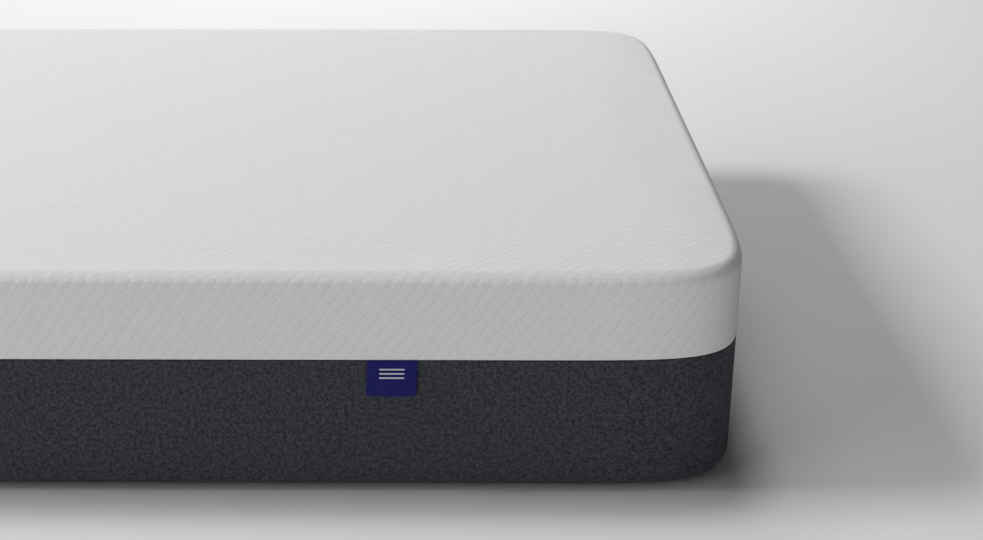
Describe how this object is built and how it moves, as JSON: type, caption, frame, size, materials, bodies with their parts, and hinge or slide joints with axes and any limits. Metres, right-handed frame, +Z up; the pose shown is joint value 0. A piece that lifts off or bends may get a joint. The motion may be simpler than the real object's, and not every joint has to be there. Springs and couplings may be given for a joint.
{
  "type": "memory foam mattress",
  "caption": "Single memory foam mattress with a zipped two-tone cover: white knit top half that lifts off a charcoal base half, layered foam core and a folded side tab.",
  "frame": {"origin": "centre of the underside, on the surface that the mattress lies on", "axes": "+X along the length, +Y across the width towards the side with the zip slider, +Z up"},
  "size_m": [2.0009, 1.0072, 0.25],
  "materials": {
    "white_rib_knit": "matte",
    "white_dimple_knit": "matte",
    "white_thread": "matte",
    "charcoal_pile": "matte",
    "charcoal_thread": "matte",
    "base_cloth": "matte",
    "navy_satin": "satin",
    "care_satin": "satin",
    "zip_tape": "matte",
    "zip_coil": "satin",
    "zip_metal": "satin",
    "grip_silicone": "matte",
    "support_foam": "matte",
    "transition_foam": "matte",
    "memory_foam": "matte"
  },
  "bodies": {
    "base_cover_and_foam": {"base_side_band": "charcoal_pile", "base_panel": "base_cloth", "grip_dots": "grip_silicone", "base_seam_thread": "charcoal_thread", "base_band_join_thread": "charcoal_thread", "lower_zip_tape": "zip_tape", "lower_zip_coil": "zip_coil", "lower_tape_thread": "charcoal_thread", "lower_end_stop": "zip_metal", "zip_pin_box": "zip_coil", "care_label_thread": "white_thread", "support_foam": "support_foam", "transition_foam": "transition_foam", "memory_foam": "memory_foam"},
    "top_cover": {"top_panel": "white_rib_knit", "top_side_band": "white_dimple_knit", "top_seam_thread": "white_thread", "top_band_join_thread": "white_thread", "upper_zip_tape": "zip_tape", "upper_zip_coil": "zip_coil", "upper_tape_thread": "white_thread", "upper_end_stop": "zip_metal", "zip_insert_pin": "zip_coil", "label_root": "navy_satin"},
    "side_tab": {"label_tab": "navy_satin", "label_mark": "white_thread"},
    "zip_slider": {"zip_slider": "zip_metal"},
    "zip_pull": {"zip_pull_tab": "zip_metal"},
    "care_flap": {"care_label": "care_satin"}
  },
  "joints": [
    {"name": "cover_lift", "type": "slide", "parent": "base_cover_and_foam", "child": "top_cover", "axis": [0, 0, 1], "range_m": [0, 0.3]},
    {"name": "zip_travel", "type": "slide", "parent": "base_cover_and_foam", "child": "zip_slider", "axis": [-1, 0, 0], "range_m": [0, 1.66]},
    {"name": "pull_tab_swing", "type": "hinge", "parent": "zip_slider", "child": "zip_pull", "pos_m": [0.83, 0.5038, 0.154], "axis": [1, 0, 0], "range_deg": [0, 165]},
    {"name": "side_tab_swing", "type": "hinge", "parent": "top_cover", "child": "side_tab", "pos_m": [0.626, -0.5009, 0.1534], "axis": [-1, 0, 0], "range_deg": [0, 165]},
    {"name": "care_label_swing", "type": "hinge", "parent": "base_cover_and_foam", "child": "care_flap", "pos_m": [-1.0006, 0, 0.136], "axis": [0, 1, 0], "range_deg": [0, 150]}
  ]
}
